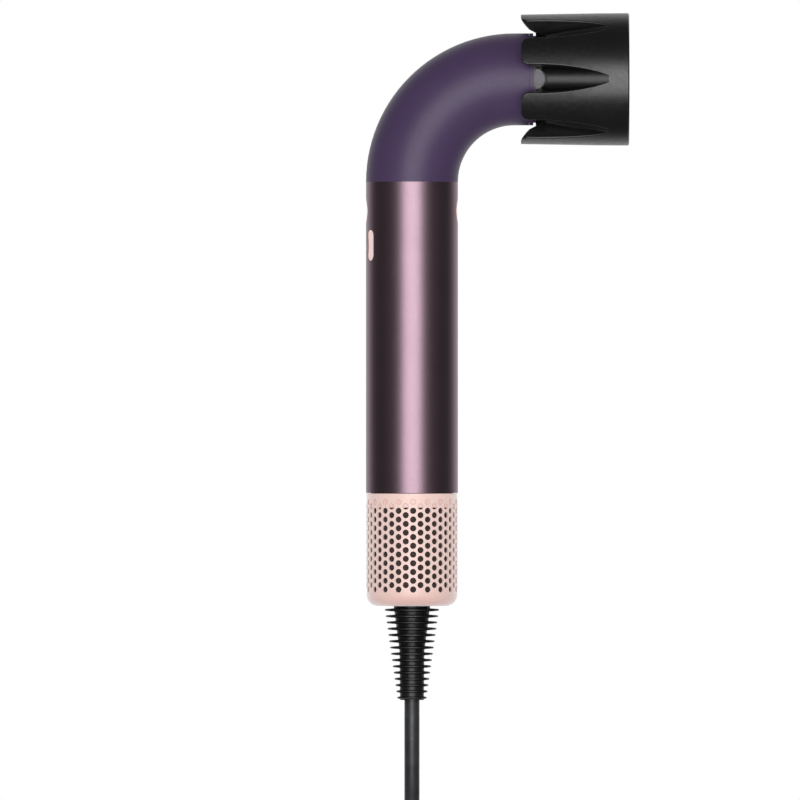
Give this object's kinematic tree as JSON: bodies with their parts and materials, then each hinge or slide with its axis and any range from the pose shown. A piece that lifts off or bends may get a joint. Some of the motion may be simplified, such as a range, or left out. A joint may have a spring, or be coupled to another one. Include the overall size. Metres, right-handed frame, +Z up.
{
  "type": "handheld hair dryer with air diffuser",
  "caption": "Tubular handheld hair dryer with a right-angle neck, a perforated intake cage, a petalled air diffuser on its outlet, and a mains cord with plug.",
  "frame": {"origin": "on the grip tube's axis, halfway up the grip tube", "axes": "+Z up the grip towards the neck, +X the way the air blows out of the diffuser, +Y to the dryer's left"},
  "size_m": [0.1233, 0.1392, 0.415],
  "materials": {
    "plum_anodised": "satin",
    "purple_soft_touch": "soft-touch",
    "grey_collar": "satin",
    "black_plastic": "fine texture",
    "grey_nozzle": "satin",
    "pink_enamel": "satin",
    "cream_gloss": "gloss",
    "copper_trim": "polished",
    "blue_mark": "gloss",
    "dark_gauze": "woven",
    "black_rubber": "matt",
    "cord_sheath": "satin",
    "nickel_pins": "bright",
    "circuit_board": "solder mask",
    "copper_winding": "enamelled",
    "steel": "machined",
    "pale_nylon": "moulded",
    "mica_and_wire": "mica sheet",
    "magnet_nickel": "plated",
    "light_alloy": "satin",
    "wire_sheath": "gloss"
  },
  "bodies": {
    "handle": {"grip_tube": "plum_anodised", "neck_skin": "purple_soft_touch", "neck_end_ring": "purple_soft_touch", "neck_duct_left": "pale_nylon", "neck_duct_right": "pale_nylon", "coupling_ring": "pale_nylon", "outlet_collar": "grey_collar", "outlet_grille": "black_plastic", "outlet_magnet": "magnet_nickel", "heater_elements": "mica_and_wire", "heater_spine": "pale_nylon", "thermal_cutout": "steel", "cool_shot_bezel": "copper_trim", "power_bezel": "copper_trim", "rocker_pins": "steel", "rocker_brackets": "pale_nylon", "rocker_switches": "black_plastic", "cool_shot_switch": "black_plastic", "power_switch": "black_plastic", "control_board": "circuit_board", "front_board": "circuit_board", "main_board": "circuit_board", "capacitors": "light_alloy", "power_transistors": "black_plastic", "heat_sink": "light_alloy", "power_wires": "wire_sheath", "motor_frame": "light_alloy", "motor_bracket": "light_alloy", "lower_motor_mount": "black_rubber", "upper_motor_mount": "black_rubber", "shaft_bearings": "steel", "stator_core": "steel", "stator_coils": "copper_winding", "intake_frame": "black_plastic", "cord_clamp": "black_plastic", "clamp_screws": "steel", "cord_inner_end": "cord_sheath", "cable_guard": "black_rubber", "cord_lead": "cord_sheath", "cord_coil": "cord_sheath", "cord_tail": "cord_sheath", "cord_tie": "black_rubber", "plug_relief": "black_rubber", "plug_body": "black_rubber", "plug_pins": "nickel_pins"},
    "cool_shot": {"cool_shot_button": "cream_gloss", "cool_shot_mark": "blue_mark"},
    "power_key": {"power_button": "cream_gloss"},
    "airflow_key": {"airflow_rocker": "cream_gloss"},
    "heat_key": {"heat_rocker": "cream_gloss"},
    "rotor": {"impeller": "light_alloy", "motor_shaft": "steel", "rotor_magnet": "magnet_nickel"},
    "cage": {"filter_cage": "pink_enamel", "cage_band": "pink_enamel", "filter_mesh": "dark_gauze"},
    "diffuser_seat": {"diffuser_magnet": "magnet_nickel"},
    "diffuser": {"diffuser_crown": "black_plastic", "diffuser_nozzle": "grey_nozzle", "baffle_dish": "grey_nozzle"}
  },
  "joints": [
    {"name": "cool_shot_press", "type": "slide", "parent": "handle", "child": "cool_shot", "axis": [-1, 0, 0], "range_m": [0, 0.0009], "stiffness_N_per_m": 1200},
    {"name": "power_press", "type": "slide", "parent": "handle", "child": "power_key", "axis": [1, 0, 0], "range_m": [0, 0.0009], "stiffness_N_per_m": 1200},
    {"name": "airflow_rock", "type": "hinge", "parent": "handle", "child": "airflow_key", "pos_m": [-0.01499, 0.0069, 0.04], "axis": [-0.4179, -0.9085, 0], "range_deg": [-3, 3], "stiffness_Nm_per_rad": 0.12},
    {"name": "heat_rock", "type": "hinge", "parent": "handle", "child": "heat_key", "pos_m": [-0.01499, -0.0069, 0.04], "axis": [0.4179, -0.9085, 0], "range_deg": [-3, 3], "stiffness_Nm_per_rad": 0.12},
    {"name": "motor_spin", "type": "hinge", "parent": "handle", "child": "rotor", "pos_m": [0, 0, -0.0525], "axis": [0, 0, 1], "continuous": true},
    {"name": "cage_slide", "type": "slide", "parent": "handle", "child": "cage", "axis": [0, 0, -1], "range_m": [0, 0.06]},
    {"name": "diffuser_pull", "type": "slide", "parent": "handle", "child": "diffuser_seat", "axis": [1, 0, 0], "range_m": [0, 0.05]},
    {"name": "diffuser_turn", "type": "hinge", "parent": "diffuser_seat", "child": "diffuser", "pos_m": [0.0696, 0, 0.1122], "axis": [1, 0, 0], "continuous": true}
  ]
}
